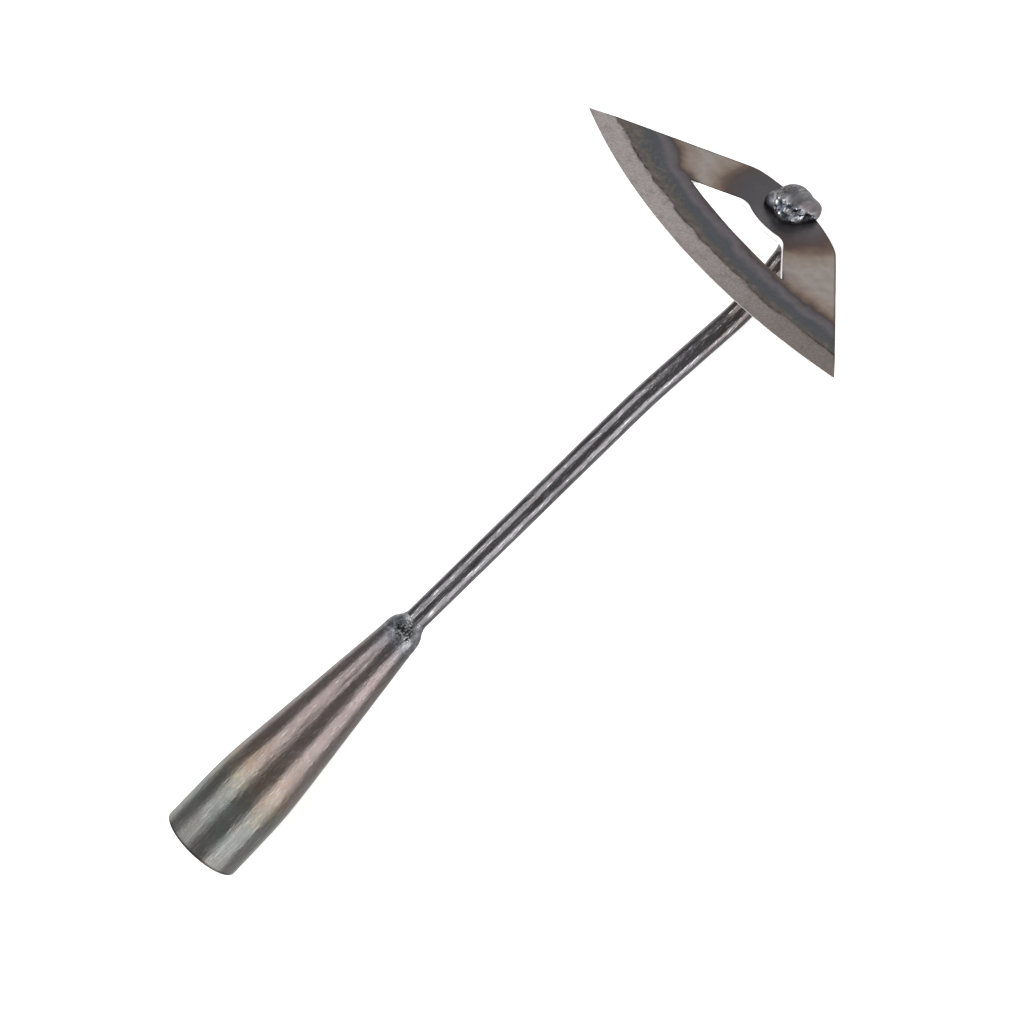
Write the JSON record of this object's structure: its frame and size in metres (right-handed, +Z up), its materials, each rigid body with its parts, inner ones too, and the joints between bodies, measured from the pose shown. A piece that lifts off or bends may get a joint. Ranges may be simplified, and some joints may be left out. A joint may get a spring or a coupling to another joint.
{
  "type": "hand hoe head",
  "caption": "All-steel hollow hoe head: crescent cutting blade with an open window, welded to a round bar shank and a tapered handle socket.",
  "frame": {"origin": "centre of the socket's open mouth", "axes": "+X along the socket's axis towards the blade, +Y towards one blade tip, +Z up with the head lying on its back and the cutting edge standing up"},
  "size_m": [0.2998, 0.134, 0.0577],
  "materials": {
    "socket_steel": "bare swaged tube with a blue-grey to brown heat tint",
    "shank_steel": "dark mill-scaled round bar",
    "blade_steel": "bare plate with temper colours and a ground bevel",
    "weld_metal": "dark granular weld bead",
    "nugget_metal": "bright pitted weld nugget"
  },
  "bodies": {
    "root": {"socket": "socket_steel", "shank": "shank_steel", "blade": "blade_steel", "socket_weld": "weld_metal", "hub_weld": "nugget_metal", "hub_back_weld": "weld_metal"}
  },
  "joints": []
}
